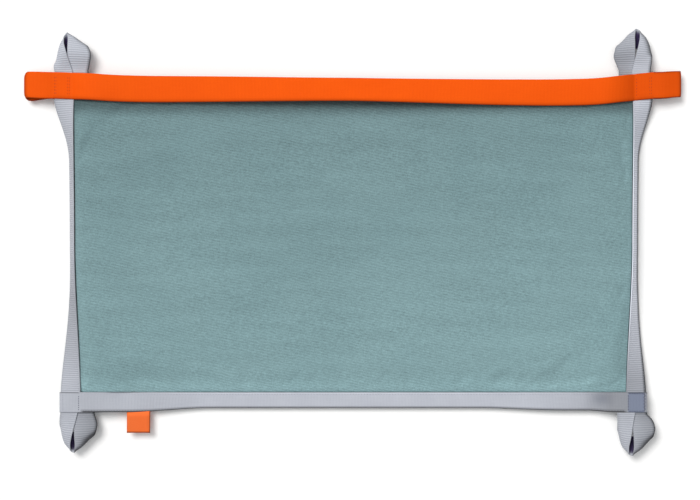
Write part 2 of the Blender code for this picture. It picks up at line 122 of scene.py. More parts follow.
def canvasMaterial():
    look = {"color": (0.196, 0.311, 0.331, 1), "dark": (0.161, 0.266, 0.287, 1),
            "light": (0.236, 0.362, 0.381, 1), "ownColor": 0.6, "threadPitch": 1.7 * mm, "twill": 0.6,
            "slant": 0.22, "rowPitch": 4.1 * mm, "rowDrift": 9 * mm, "grainScale": 560.0,
            "broadScale": 9.0, "foldStretch": (7, 38, 30), "lineStretch": (215, 600, 90),
            "weave": 0.055, "grain": 0.76, "lines": 0.52, "rows": 0.070, "folds": 0.30, "base": 0.16,
            "paintedLightDown": -0.62, "paintedLightRight": 0.06, "lowerHighlight": 0.30, "lowerBand": (-192 * mm, -221 * mm),
            "rightHighlight": 0.12, "rightBand": (396 * mm, 414 * mm),
            "strapShadow": 0.54, "strapShadowBand": (182 * mm, 207 * mm),
            "relief": 0.5, "threadDepth": 0.16 * mm, "foldDepth": 1.3 * mm}
    made, tree, shader = startMaterial("canvas", 0.85, sheen=0.10, specular=0.2)
    place = put(tree, "ShaderNodeTexCoord").outputs["Object"]
    parts = put(tree, "ShaderNodeSeparateXYZ", {0: place})
    x, y = parts.outputs[0], parts.outputs[1]

    def stretched(vector):
        return put(tree, "ShaderNodeVectorMath", {0: place, 1: vector}, operation="MULTIPLY").outputs[0]

    def addTo(total, value, share):
        return calc(tree, "MULTIPLY_ADD", value, share, total)

    twill = wave(tree, calc(tree, "ADD", x, y), look["threadPitch"])
    cross = wave(tree, calc(tree, "SUBTRACT", x, y), look["threadPitch"])
    weave = addTo(calc(tree, "MULTIPLY", cross, 1.0 - look["twill"]), twill, look["twill"])
    grain = noise(tree, place, look["grainScale"], 2.0, 0.6)
    broad = noise(tree, place, look["broadScale"], 3.0)
    folds = noise(tree, stretched(look["foldStretch"]), 1.0, 4.0, 0.6)
    lines = noise(tree, stretched(look["lineStretch"]), 1.0, 2.0)
    rows = wave(tree, addTo(addTo(y, x, look["slant"]), broad, look["rowDrift"]), look["rowPitch"])
    tone = blendColor(tree, ramp(tree, broad, 0.30, 0.70, 0.30, 0.70), look["dark"], look["light"])
    tone = blendColor(tree, look["ownColor"], tone, look["color"])
    # painted light: the cloth is painted lighter towards the bottom and the right, with a painted
    # highlight along its lower and right-hand edges, and a painted shadow under the strap
    paintedLight = addTo(addTo(1.0, y, look["paintedLightDown"]), x, look["paintedLightRight"])
    paintedLight = calc(tree, "ADD", paintedLight, ramp(tree, y, *look["lowerBand"], 0.0, look["lowerHighlight"]))
    paintedLight = calc(tree, "ADD", paintedLight, ramp(tree, x, *look["rightBand"], 0.0, look["rightHighlight"]))
    strapShadow = ramp(tree, y, *look["strapShadowBand"])
    paintedLight = calc(tree, "MULTIPLY", paintedLight, addTo(1.0, strapShadow, -look["strapShadow"]))
    flecks = addTo(calc(tree, "MULTIPLY", grain, look["grain"]), weave, look["weave"])
    for value, share in ((lines, "lines"), (rows, "rows"), (folds, "folds")):
        flecks = addTo(flecks, value, look[share])
    level = calc(tree, "MULTIPLY", calc(tree, "ADD", flecks, look["base"]), paintedLight)
    tree.links.new(shaded(tree, tone, level), shader.inputs["Base Color"])
    fine = bump(tree, calc(tree, "MULTIPLY_ADD", weave, 0.6, grain), look["relief"], look["threadDepth"])
    tree.links.new(bump(tree, folds, look["relief"], look["foldDepth"], fine), shader.inputs["Normal"])
    return made


webbing = {"wobble": 0.7 * mm, "wobbleScale": 90.0, "streak": (40, 1400, 1), "cloudScale": 22.0,
           "selvedge": (1.7 * mm, 1.1 * mm), "checks": 0.45, "cordPitch": 0.8 * mm, "cords": 0.6,
           "ribDepth": 0.22 * mm}


def webbingMaterial(name, look):
    # ribs lie across the tape, from the along and across lengths that the tapes carry
    made, tree, shader = startMaterial(name, look["roughness"], look["sheen"], look["shine"])

    def carried(mark):
        return put(tree, "ShaderNodeAttribute", attribute_name=mark).outputs["Fac"]

    def aroundZero(value, amount):
        return calc(tree, "MULTIPLY", calc(tree, "SUBTRACT", value, 0.5), amount)

    along, across = carried("along"), carried("across")
    place = put(tree, "ShaderNodeCombineXYZ", {0: along, 1: across, 2: 0.0}).outputs[0]
    wobble = calc(tree, "MULTIPLY", noise(tree, place, webbing["wobbleScale"], 1.0), webbing["wobble"])
    ribs = wave(tree, calc(tree, "ADD", along, wobble), look["ribPitch"])
    weave = calc(tree, "MULTIPLY", ribs, wave(tree, across, look["warpPitch"]))
    edge = calc(tree, "ABSOLUTE", across)
    selvedge = ramp(tree, edge, *[look["halfWidth"] - inset for inset in webbing["selvedge"]])
    plain = calc(tree, "SUBTRACT", 1.0, selvedge)
    stretch = put(tree, "ShaderNodeVectorMath", {0: place, 1: webbing["streak"]}, operation="MULTIPLY")
    streaks = noise(tree, stretch.outputs[0], 1.0, 2.0)
    cloud = noise(tree, place, webbing["cloudScale"], 3.0)
    level = calc(tree, "MULTIPLY", calc(tree, "MULTIPLY", ribs, look["ribTone"]), plain)
    level = calc(tree, "ADD", level, aroundZero(streaks, look["streaks"]))
    level = calc(tree, "ADD", level, aroundZero(cloud, look["cloud"]))
    color = blendColor(tree, ramp(tree, level, -0.5, 0.5, shape="LINEAR"), look["dark"], look["light"])
    rubbed = calc(tree, "ADD", selvedge, calc(tree, "MULTIPLY", cloud, 0.5))
    color = blendColor(tree, ramp(tree, rubbed, 1.0, 1.5, 0.0, look["wear"]), color, look["worn"])
    # painted shade over the doubled and pressed places and in a loop's dark inside, and painted light and
    # shade carried by each tape
    color = blendColor(tree, carried("pressed"), color, look["pressed"])
    color = blendColor(tree, carried("innerShade"), color, look["innerShade"])
    color = shaded(tree, color, calc(tree, "ADD", carried("shade"), 1.0))
    tree.links.new(color, shader.inputs["Base Color"])
    relief = calc(tree, "MULTIPLY_ADD", weave, webbing["checks"], calc(tree, "MULTIPLY", ribs, plain))
    cords = calc(tree, "MULTIPLY", selvedge, webbing["cords"])
    relief = calc(tree, "MULTIPLY_ADD", wave(tree, across, webbing["cordPitch"]), cords, relief)
    tree.links.new(bump(tree, relief, look["relief"], webbing["ribDepth"]), shader.inputs["Normal"])
    return made


thread = {"twist": 0.45 * mm, "depth": 0.05 * mm, "sides": 6, "rings": 7}


def threadMaterial(name, color, dark):
    made, tree, shader = startMaterial(name, 0.6, sheen=0.1)
    place = put(tree, "ShaderNodeTexCoord").outputs["Object"]
    parts = put(tree, "ShaderNodeSeparateXYZ", {0: place})
    twist = wave(tree, calc(tree, "ADD", parts.outputs[0], parts.outputs[1]), thread["twist"])
    color = blendColor(tree, ramp(tree, twist, -1.0, 1.0), dark, color)
    tree.links.new(color, shader.inputs["Base Color"])
    tree.links.new(bump(tree, twist, 0.5, thread["depth"]), shader.inputs["Normal"])
    return made


# the pressed and innerShade colours are painted shade
greyLook = {"roughness": 0.65, "sheen": 0.06, "shine": 0.3, "ribPitch": 3.2 * mm, "warpPitch": 1.3 * mm,
            "ribTone": 0.62, "streaks": 0.40, "cloud": 0.40, "relief": 0.8, "halfWidth": 15 * mm,
            "wear": 0.20, "dark": (0.400, 0.420, 0.480, 1), "light": (0.530, 0.552, 0.612, 1),
            "worn": (0.64, 0.66, 0.70, 1), "pressed": (0.155, 0.185, 0.270, 1),
            "innerShade": (0.045, 0.030, 0.100, 1)}
orangeLook = {"roughness": 0.7, "sheen": 0.0, "shine": 0.06, "ribPitch": 2.1 * mm, "warpPitch": 1.5 * mm,
              "ribTone": 0.20, "streaks": 0.60, "cloud": 0.75, "relief": 0.35, "halfWidth": 20 * mm,
              "wear": 0.08, "dark": (0.780, 0.082, 0.002, 1), "light": (0.88, 0.104, 0.003, 1),
              "worn": (0.92, 0.14, 0.012, 1), "pressed": (0.62, 0.050, 0.003, 1),
              "innerShade": (0.30, 0.020, 0.002, 1)}
labelLook = dict(orangeLook, halfWidth=17 * mm, ribPitch=0.9 * mm, warpPitch=0.9 * mm, ribTone=0.08,
                 dark=(0.80, 0.140, 0.030, 1), light=(0.87, 0.178, 0.044, 1))
softLook = dict(greyLook, ribPitch=2.2 * mm, ribTone=0.18, streaks=0.65, cloud=0.60, relief=0.5)
canvas = canvasMaterial()
greyTape = webbingMaterial("grey_tape", greyLook)
softTape = webbingMaterial("soft_tape", softLook)
orangeTape = webbingMaterial("orange_tape", orangeLook)
labelCloth = webbingMaterial("label_cloth", labelLook)
greyThread = threadMaterial("grey_thread", (0.46, 0.48, 0.53, 1), (0.30, 0.31, 0.37, 1))
slateThread = threadMaterial("slate_thread", (0.060, 0.063, 0.125, 1), (0.025, 0.027, 0.06, 1))
orangeThread = threadMaterial("orange_thread", (0.50, 0.050, 0.006, 1), (0.26, 0.022, 0.004, 1))
print("materials made")


# Making solids

tapeWidth, strapWidth, tapeThickness = 30 * mm, 40 * mm, 1.5 * mm
halfTape, halfStrap = tapeWidth / 2, strapWidth / 2


def normals(points):
    down = np.gradient(points, axis=0)
    right = np.gradient(points, axis=1)
    made = np.cross(right, down)
    return made / np.maximum(np.linalg.norm(made, axis=2, keepdims=True), 1e-12)


def meshObject(name, points, faces, material):
    mesh = bpy.data.meshes.new(name)
    mesh.from_pydata([tuple(p) for p in points], [], [tuple(int(k) for k in f) for f in faces])
    mesh.materials.append(material)
    mesh.shade_smooth()
    made = bpy.data.objects.new(name, mesh)
    bpy.context.scene.collection.objects.link(made)
    return made


def shellFaces(upper, lower):
    # faces over two grids of point numbers, and round the border that joins them
    rows, columns = upper.shape
    faces = []
    for i in range(rows - 1):
        for j in range(columns - 1):
            faces.append((upper[i, j], upper[i, j + 1], upper[i + 1, j + 1], upper[i + 1, j]))
            faces.append((lower[i, j], lower[i + 1, j], lower[i + 1, j + 1], lower[i, j + 1]))
    border = [(0, j) for j in range(columns - 1)] + [(i, columns - 1) for i in range(rows - 1)]
    border += [(rows - 1, j) for j in range(columns - 1, 0, -1)]
    border += [(i, 0) for i in range(rows - 1, 0, -1)]
    for a, b in zip(border, border[1:] + border[:1]):
        faces.append((upper[a], lower[a], lower[b], upper[b]))
    return faces


ribbon = {"edge": 0.9 * mm, "leastThin": 0.03, "sharp": math.radians(50), "edgeShadeDeep": 2.4 * mm}


def tape(name, points, along, across, material, thickness=tapeThickness, **marks):
    # a closed ribbon from its middle surface, points[row, column]; its long edges are rounded
    half = np.abs(across).max()
    fade = np.clip((np.abs(across) - half + ribbon["edge"]) / ribbon["edge"], 0.0, 1.0)
    depth = thickness / 2 * np.sqrt(np.maximum(1.0 - fade ** 2, ribbon["leastThin"]))
    lift = normals(points) * depth[None, :, None]
    solid = np.concatenate([(points + lift).reshape(-1, 3), (points - lift).reshape(-1, 3)])
    upper = np.arange(len(solid) // 2).reshape(points.shape[:2])
    made = meshObject(name, solid, shellFaces(upper + len(solid) // 2, upper), material)
    run, reach = np.meshgrid(along, across, indexing="ij")
    grid = {"along": run, "across": reach}
    for key, mark in marks.items():
        grid[key] = mark(run, reach)
    for key, values in grid.items():
        # a mark may differ on the two faces
        faces = values if isinstance(values, tuple) else (values, values)
        layer = made.data.attributes.new(key, "FLOAT", "POINT")
        layer.data.foreach_set("value", np.concatenate([f.reshape(-1) for f in faces]).astype(np.float32))
    made.data.set_sharp_from_angle(angle=ribbon["sharp"])
    return made


def paintedEdgeShade(across, half, amount, deep=ribbon["edgeShadeDeep"]):
    # painted shade along the edge on the side that across grows towards
    return -amount * smooth(half - deep, half - deep / 3, across)


def together(*shades):
    level = 1.0
    for shade in shades:
        level = level * (1.0 + shade)
    return level - 1.0


def tapeColumns(width, count):
    # close together at the rounded edges
    half = width / 2
    edge = np.array([0.0, 0.12, 0.35, 0.8, 1.3, 2.0]) * mm
    inner = np.linspace(-half + edge[-1], half - edge[-1], count)
    return np.concatenate([-half + edge[:-1], inner, half - edge[-2::-1]])


# Where the pad and its edging run: the same rules as the solids

pad = {"halfWidth": 417.4 * mm, "topFlare": 1.8 * mm, "drawIn": 8.0 * mm, "halfHeight": 225 * mm,
       "thickness": 35 * mm, "crown": 3.0 * mm, "seam": 18 * mm, "shoulder": 11 * mm, "power": 2.2,
       "pinch": 66 * mm, "topRound": 18.9 * mm, "topLip": 0.5 * mm, "foot": 5 * mm, "backRound": 7 * mm,
       "cloth": 0.7 * mm, "backGap": 3.2 * mm, "leastDeep": 2.2 * mm, "leastThick": 3.6 * mm,
       "backIn": 3.0 * mm, "backInTop": 1.8 * mm,
       "underLeft": 2.4 * mm, "underRight": 1.4 * mm, "underBottom": 1.5 * mm,
       "sideTilt": math.radians(72), "turnTop": (120 * mm, 216 * mm), "turnBottom": (20 * mm, 232 * mm),
       "bottomTilt": math.radians(39.5), "bottomTurn": (215 * mm, 384 * mm),
       "bottomRise": (345 * mm, 384 * mm), "bottomOver": 1.0 * mm, "rightEase": 0.36,
       "rightEaseOver": (190 * mm, 320 * mm), "rightTurn": (352 * mm, 408 * mm),
       "rightRise": (366 * mm, 408 * mm), "leftLevel": 19.8 * mm, "rightLevel": 22.1 * mm,
       "rightOut": 2.0 * mm, "rightOutLow": (-165 * mm, -70 * mm), "rightOutHigh": (150 * mm, 215 * mm),
       "bottomOut": 0.06}
strapLine = 235.2 * mm
axisTop, axisBottom, axisEnd = 256.5 * mm, -256.3 * mm, 451.5 * mm


def turnedUp(y):
    # most beside the middle of the pad, and flat where the strap and the bottom tape cross
    upper = np.asarray(y) > 0.0
    start = np.where(upper, pad["turnTop"][0], pad["turnBottom"][0])
    by = np.where(upper, pad["turnTop"][1], pad["turnBottom"][1])
    return 1.0 - np.clip((np.abs(y) - start) / (by - start), 0.0, 1.0) ** 2


def sideAngle(y):
    return pad["sideTilt"] * turnedUp(y)


def bottomAngle(x):
    # the left half eases down to flat, and the right half keeps its tilt and then twists
    left = 1.0 - smooth(*pad["bottomTurn"], np.abs(x))
    eased = 1.0 - pad["rightEase"] * smooth(*pad["rightEaseOver"], x)
    right = eased * (1.0 - smooth(*pad["rightTurn"], x))
    return pad["bottomTilt"] * np.where(np.asarray(x) < 0.0, left, right)


def padEdge(y):
    wide = pad["topFlare"] * smooth(0.0, pad["halfHeight"], y)
    return pad["halfWidth"] + wide - pad["drawIn"] * smooth(0.0, pad["halfHeight"], -np.asarray(y))


def pinch(tilt):
    return 1.0 - np.sin(tilt) / math.sin(pad["sideTilt"])


def shoulder(distance, reach):
    return (1.0 - np.clip(distance / reach, 0.0, 1.0)) ** pad["power"]


def rolled(distance, reach):
    return 1.0 - np.sqrt(1.0 - (1.0 - np.clip(distance / reach, 0.0, 1.0)) ** 2)


def blended(a, b):
    return (a ** 6 + b ** 6) ** (1 / 6)


def coverPoints(columns, rows, front):
    # a grid over one face of the cover; columns and rows are (side, inset) pairs
    (side, insetX), (end, insetY) = np.array(columns).T[:, None, :], np.array(rows).T[:, :, None]
    innerX, innerY = np.maximum(insetX, 0.0), np.maximum(insetY, 0.0)
    y = end * (pad["halfHeight"] - innerY) + 0.0 * insetX
    edge = padEdge(y)
    share = innerX / pad["halfWidth"]
    x = edge * (1.0 - share)
    innerX = edge * share
    tiltX, tiltY = sideAngle(y), np.where(y > 0.0, math.pi / 2, bottomAngle(x))
    edgeX = pad["seam"] + halfTape * np.sin(tiltX)
    edgeY = pad["seam"] + halfTape * np.sin(tiltY)
    rise = (1.0 - (1.0 - np.clip(innerX / pad["halfWidth"], 0, 1)) ** 2) * (
        1.0 - (1.0 - np.clip(innerY / pad["halfHeight"], 0, 1)) ** 2)
    full = pad["thickness"] + pad["crown"] * rise
    gap = np.where(side < 0, pad["underLeft"], pad["underRight"])
    underX = edgeX - gap * np.cos(tiltX)
    underY = edgeY - pad["underBottom"] * np.cos(tiltY)
    dropX = (full - underX) * shoulder(innerX, pad["shoulder"] + pad["pinch"] * pinch(tiltX))
    dropBottom = (full - underY) * shoulder(innerY, pad["shoulder"] + pad["pinch"] * pinch(tiltY))
    dropTop = (full - pad["seam"] - pad["topLip"]) * rolled(innerY, pad["topRound"])
    top = full - blended(dropX, np.where(y > 0.0, dropTop, dropBottom))
    if front:
        z = top
        x = x - gap * np.sin(tiltX) * shoulder(innerX, pad["shoulder"])
        under = pad["underBottom"] * np.sin(tiltY) * shoulder(innerY, pad["shoulder"])
        y = y + np.where(y > 0.0, 0.0, under)
    else:
        thick = np.minimum(1.0 - pinch(tiltX), np.where(y > 0.0, 1.0, 1.0 - pinch(tiltY)))
        flat = pad["cloth"] / 2
        footX = mix(underX - pad["backGap"], pad["foot"], 1.0 - pinch(tiltX))
        footY = mix(underY - pad["backGap"], pad["foot"], 1.0 - pinch(tiltY))
        footY = np.where(y > 0.0, pad["foot"], footY)
        riseX = (footX - flat) * shoulder(innerX, pad["backRound"] + pad["pinch"] * pinch(tiltX))
        reachY = pad["backRound"] + np.where(y > 0.0, 0.0, pad["pinch"] * pinch(tiltY))
        riseY = (footY - flat) * shoulder(innerY, reachY)
        least = mix(pad["leastDeep"], pad["leastThick"], thick)
        z = np.minimum(flat + blended(riseX, riseY), top - least)
        x = x + pad["backIn"] * (1.0 - pinch(tiltX)) * shoulder(innerX, pad["shoulder"])
        drawnIn = np.where(y > 0.0, pad["backInTop"], pad["backIn"] * thick)
        y = y - end * drawnIn * shoulder(innerY, pad["shoulder"])
    return np.stack([side * x, y + 0.0 * x, z], axis=2)


# The padded cover

cover = {"near": [0.0, 0.5, 1.2, 2.1, 3.2, 4.6, 6.2, 8.0, 10.0, 12.4, 15.2, 18.4, 22.0, 26.0, 30.4],
         "cell": 5.6, "cap": 1.5 * mm, "frames": 18, "heldBand": (2.0 * mm, 16.0 * mm),
         "cloth": {"quality": 6, "mass": 0.3, "tension_stiffness": 20, "compression_stiffness": 20,
                   "shear_stiffness": 6, "bending_stiffness": 1.2, "shrink_min": -0.011,
                   "shrink_max": -0.011, "use_pressure": True, "uniform_pressure_force": 1.5}}


def insets(half):
    near = cover["near"]
    count = int(round((half / mm - near[-1]) / cover["cell"]))
    return [v * mm for v in near[:-1]] + list(np.linspace(near[-1] * mm, half, count + 1)[:-1])


def bothSides(half):
    steps = insets(half)
    return [(-1, s) for s in steps] + [(1, half)] + [(1, s) for s in reversed(steps)]


def simulateCover(made, pinned):
    # the front panel is a little larger than the pad, so that it settles into soft creases
    before = np.array([v.co[:] for v in made.data.vertices])
    group = made.vertex_groups.new(name="held")
    for index, weight in enumerate(pinned):
        group.add([index], float(weight), "REPLACE")
    cloth = made.modifiers.new("cloth", "CLOTH")
    for key, value in cover["cloth"].items():
        setattr(cloth.settings, key, value)
    cloth.settings.vertex_group_mass = "held"
    cloth.settings.effector_weights.gravity = 0.0
    cloth.point_cache.frame_start = 1
    cloth.point_cache.frame_end = cover["frames"]
    scene = bpy.context.scene
    for step in range(1, cover["frames"] + 1):
        scene.frame_set(step)
    graph = bpy.context.evaluated_depsgraph_get()
    after = np.array([v.co[:] for v in made.evaluated_get(graph).data.vertices])
    made.modifiers.remove(cloth)
    made.vertex_groups.remove(group)
    scene.frame_set(1)
    move = after - before
    reach = np.linalg.norm(move, axis=1, keepdims=True)
    move *= cover["cap"] * np.tanh(reach / cover["cap"]) / np.maximum(reach, 1e-9)
    made.data.vertices.foreach_set("co", (before + move).astype(np.float32).reshape(-1))
    made.data.update()
    print("cover moved up to", round(float(np.linalg.norm(move, axis=1).max()) / mm, 2), "mm")


def makeCover():
    columns, rows = bothSides(pad["halfWidth"]), bothSides(pad["halfHeight"])
    front = coverPoints(columns, rows, True)
    back = coverPoints(columns, rows, False)
    number = np.arange(front[..., 0].size).reshape(front.shape[:2])
    points = np.concatenate([front.reshape(-1, 3), back.reshape(-1, 3)])
    made = meshObject("padded_cover", points, shellFaces(number, number + number.size), canvas)
    nearest = np.minimum(np.array(columns)[None, :, 1], np.array(rows)[:, None, 1])
    free = smooth(*cover["heldBand"], nearest)
    pinned = np.concatenate([1.0 - free.reshape(-1), np.ones(number.size)])
    simulateCover(made, pinned)
    finer = made.modifiers.new("finer", "SUBSURF")
    finer.levels = finer.render_levels = 1
    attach(made, root)
    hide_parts("foam_core", "cover_front", "cover_back")


makeCover()
print("cover made")


# Straight grey tapes; each tone belongs to the place of the same rank, in mm along the tape

tapes = {"top": 249.0 * mm, "bottom": {"left": -249.0 * mm, "right": -254.8 * mm},
         "boxStart": (411 * mm, 413 * mm), "boxEnd": (436 * mm, 438 * mm), "boxShade": 0.88,
         "dip": 372 * mm, "dipReach": 14 * mm, "dipSide": 5 * mm, "dipFade": (-2 * mm, 16 * mm),
         "dipShade": 0.35, "lowRim": 0.86, "lowDeep": 3.3 * mm, "lowEnd": (405 * mm, 410 * mm),
         "foldRim": 0.60, "foldDeep": 1.8 * mm, "foldStart": (409 * mm, 412 * mm), "rightRim": 0.86,
         "rightDeep": 4.0 * mm, "leftRim": 0.12, "leastTilt": 0.34,
         "bottomPlaces": (-452, -400, -300, -230, 200, 250, 300, 345, 385, 408, 452),
         "bottomTones": (-0.04, -0.12, 0.05, 0.38, 0.40, 0.32, 0.18, 0.04, -0.44, -0.42, -0.48),
         "sidePlaces": (-250, -207, -162, -87, -12, 63, 138, 198, 250),
         "leftTones": (-0.05, -0.08, -0.20, -0.30, -0.06, -0.06, -0.10, -0.05, 0.0),
         "rightTones": (-0.30, -0.25, 0.16, 0.72, 0.76, 0.76, 0.56, 0.16, 0.05)}


def sideSurface(side):
    def surface(y, across):
        inside = np.clip(y, -pad["halfHeight"], pad["halfHeight"])
        tilt = sideAngle(inside)
        reach = across + halfTape
        x = padEdge(inside) + reach * np.cos(tilt)
        if side > 0:
            middle = smooth(*pad["rightOutLow"], inside) * (1.0 - smooth(*pad["rightOutHigh"], inside))
            x = x + pad["rightOut"] * middle * reach / tapeWidth
        return np.stack([side * x, y + 0.0 * x, pad["seam"] - across * np.sin(tilt)], axis=-1)
    return surface


def bottomSurface(x, across):
    tilt = bottomAngle(x)
    reach = across + halfTape
    y = -pad["halfHeight"] - reach * (np.cos(tilt) + pad["bottomOut"] * np.sin(tilt))
    z = pad["seam"] - across * np.sin(tilt)
    level = np.where(x < 0.0, pad["leftLevel"], pad["rightLevel"])
    rise = np.where(x < 0.0, smooth(*pad["bottomRise"], np.abs(x)), smooth(*pad["rightRise"], x))
    return np.stack([x + 0.0 * y, y, mix(z, level, rise)], axis=-1)


def sheetOf(surface, along, across):
    return surface(*np.meshgrid(along, across, indexing="ij"))


def boxed(along):
    return smooth(*tapes["boxStart"], along) * (1.0 - smooth(*tapes["boxEnd"], along))


def bottomPressedShade(along, across):
    # painted shade over the box-stitched end, and over the dip where the tape sags just before it
    dip = np.exp(-((along - tapes["dip"]) / tapes["dipReach"]) ** 2)
    dip = dip * (1.0 - smooth(*tapes["dipFade"], np.abs(across + tapes["dipSide"])))
    return tapes["boxShade"] * boxed(along) + tapes["dipShade"] * dip


def bottomShade(along, across):
    # painted light along the middle, where the tape tilts from the lamp; painted shade at the right-hand
    # end, at the lower edge and along the fold over the side tapes
    tone = np.interp(along, np.array(tapes["bottomPlaces"]) * mm, tapes["bottomTones"])
    low = tapes["lowRim"] * (1.0 - smooth(*tapes["lowEnd"], np.abs(along)))
    fold = tapes["foldRim"] * smooth(*tapes["foldStart"], np.abs(along))
    return together(tone * (1.0 - boxed(along)), paintedEdgeShade(across, halfTape, low, tapes["lowDeep"]),
                    paintedEdgeShade(-across, halfTape, fold, tapes["foldDeep"]))


def sideShade(side):
    # painted light and shade along each side tape, and painted shade along its outer edge; the right
    # tape, turned from the lamp, is painted much lighter
    def shade(along, across):
        tones = tapes["rightTones"] if side > 0 else tapes["leftTones"]
        tone = np.interp(along, np.array(tapes["sidePlaces"]) * mm, tones)
        if side < 0:
            return together(tone, paintedEdgeShade(across, halfTape, tapes["leftRim"]))
        # where the tape is turned up, the painted shade on its edge reaches further across it
        deep = tapes["rightDeep"] / np.maximum(np.cos(sideAngle(along)), tapes["leastTilt"])
        return together(tone, paintedEdgeShade(across, halfTape, tapes["rightRim"], deep))
    return shade


def makeStraightTapes():
    across = tapeColumns(tapeWidth, 9)
    for side, name in ((-1, "left"), (1, "right")):
        along = np.linspace(tapes["bottom"][name], tapes["top"], 200)
        points = sheetOf(sideSurface(side), along, across)[:, ::side]
        made = tape("side_tape_" + name, points, along, across[::side], greyTape, shade=sideShade(side))
        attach(made, root)
        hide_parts("side_webbing_" + name)
    end = padEdge(-pad["halfHeight"]) + tapeWidth + pad["bottomOver"]
    along = np.linspace(-end, end, 320)
    points = sheetOf(bottomSurface, along, across)
    made = tape("bottom_tape", points, along, across, softTape, pressed=bottomPressedShade, shade=bottomShade)
    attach(made, root)
    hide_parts("bottom_webbing")


makeStraightTapes()
print("straight tapes made")


# Corner loops: a tape wrapped round a flattened cone whose point lies past the tip

cone = {"offset": 6 * mm, "step": 2.3 * mm, "flatFrom": 26 * mm, "flatBy": 60 * mm,
        "sag": math.radians(3.0), "layerLift": math.radians(3.3), "tail": 18 * mm, "inset": 0.75 * mm,
        "backStart": 2.0 * mm, "turn": 20 * mm, "drawPitch": 12 * mm, "fullShare": 0.6,
        "paintedEdgeShade": 0.80, "rimDeep": 3.2 * mm, "farRim": 0.15, "turned": 0.72, "facing": (0.22, 0.70),
        "rightward": 0.95, "downward": 0.5, "legTurn": (-6 * mm, 14 * mm), "legTones": (0.7, 1.3),
        "innerShadeEdge": (2.0 * mm, 6.5 * mm), "innerShadeRun": (24 * mm, 38 * mm), "sewnLap": 9.0 * mm,
        "bendFrom": 1.0 * mm, "bendTo": 7.0 * mm,
        "mouth": 0.40, "mouthDeep": 10 * mm, "mouthRun": (5 * mm, 22 * mm)}
halvings = 40
corners = [
    {"place": "top_left", "end": 1, "hand": 1, "tip": (-433.6 * mm, 318.8 * mm),
     "narrow": 15.0, "wide": 53.5, "frontLean": 16.5, "backLean": -1.0, "height": 18.0 * mm,
     "frontDraw": (0, -0.9, -1.0, -0.4, 2.1, 3.8, 4.4), "backDraw": (0, 0, 1.4, 5.5, 3.9, 1.1, -1.6),
     "frontShade": 0.0, "backShade": 0.04},
    {"place": "top_right", "end": 1, "hand": -1, "tip": (427.8 * mm, 325.3 * mm),
     "narrow": 26.0, "wide": 46.0, "frontLean": 13.0, "backLean": -1.0, "height": 18.0 * mm,
     "frontDraw": (0, 5.7, 3.4, 0.4, -3.7, -3.5, -2.5), "backDraw": (0, -0.9, 1.3, -0.6, -2.0, 2.5, 7.0),
     "frontShade": 0.03, "backShade": -0.27},
    {"place": "bottom_left", "end": -1, "hand": 1, "tip": (-422.5 * mm, -321.0 * mm),
     "narrow": 25.0, "wide": 45.0, "frontLean": 13.0, "backLean": -3.0, "height": 18.0 * mm,
     "frontDraw": (0, -4.5, -1.8, 1.5, 5.6, 5.3, 4.0), "backDraw": (0, 2.4, 0.9, 3.1, 5.3, 2.3, -0.9),
     "frontShade": -0.10, "backShade": -0.40},
    {"place": "bottom_right", "end": -1, "hand": 1, "tip": (415.3 * mm, -325.6 * mm),
     "narrow": 27.0, "wide": 44.0, "frontLean": 11.0, "backLean": -3.0, "height": 20.3 * mm,
     "frontDraw": (0, -5.1, -1.7, 2.1, 6.0, 5.3, 3.2), "backDraw": (0, 3.2, 1.5, 2.2, 3.9, 0.0, -10.5),
     "frontShade": -0.12, "backShade": -0.36},
]


def coneSection(spec):
    narrow, wide = -math.radians(spec["narrow"]), math.radians(spec["wide"])
    middle, half = (narrow + wide) / 2, (wide - narrow) / 2
    first = math.acos((math.radians(spec["frontLean"]) - middle) / half)
    last = 2 * math.pi + math.acos((math.radians(spec["backLean"]) - middle) / half)
    share = np.linspace(0.0, 1.0, 241)
    turn = mix(first, last, share)
    azimuth = middle + half * np.cos(turn)
    low, high = math.radians(1.0), math.radians(60.0)
    for _ in range(halvings):
        height = (low + high) / 2
        lift = height * np.sin(turn) - cone["sag"] - cone["layerLift"] * share
        made = np.stack([np.sin(azimuth) * np.cos(lift), np.cos(azimuth) * np.cos(lift), np.sin(lift)], 1)
        steps = np.arccos(np.clip((made[1:] * made[:-1]).sum(axis=1), -1.0, 1.0))
        if steps.sum() < math.pi:
            low = height
        else:
            high = height
    return made, np.concatenate([[0.0], np.cumsum(steps)])


def bandPoints(spec, section, along, across):
    made, travelled = section
    angle = np.clip(np.arctan2(along, across) + math.pi / 2, 0.0, travelled[-1])
    reach = np.hypot(along, across)
    wrapped = np.stack([reach * np.interp(angle, travelled, made[:, k]) for k in range(3)], axis=-1)
    front, back = math.radians(spec["frontLean"]), math.radians(spec["backLean"])
    ahead = np.stack([-along * math.sin(front) - across * math.cos(front),
                      -along * math.cos(front) + across * math.sin(front), 0.0 * along], axis=-1)
    behind = np.stack([along * math.sin(back) + across * math.cos(back),
                       along * math.cos(back) - across * math.sin(back),
                       0.0 * along - cone["step"]], axis=-1)
    flat = np.where((along < 0.0)[..., None], ahead, behind)
    return mix(wrapped, flat, smooth(cone["flatFrom"], cone["flatBy"], np.abs(along))[..., None])


def legEnds(spec, section, front, across, depth):
    low, high = np.zeros_like(across), np.full_like(across, 2.2 * depth)
    for _ in range(halvings):
        middle = (low + high) / 2
        short = bandPoints(spec, section, -middle if front else middle, across)[..., 1] < depth
        low, high = np.where(short, middle, low), np.where(short, high, middle)
    return low


def drawn(table, y):
    # how far a leg is drawn sideways: a smooth curve through values at equal steps from the cone's point
    last = len(table) - 1
    place = np.clip(y / cone["drawPitch"], 0.0, last - 0.001)
    i = place.astype(int)
    t = place - i
    values = np.array(table) * mm
    a, b = values[i], values[i + 1]
    before, after = values[np.maximum(i - 1, 0)], values[np.minimum(i + 2, last)]
    bend = 2 * before - 5 * a + 4 * b - after
    twist = 3 * a - before - 3 * b + after
    return a + ((b - before) * t + bend * t ** 2 + twist * t ** 3) / 2


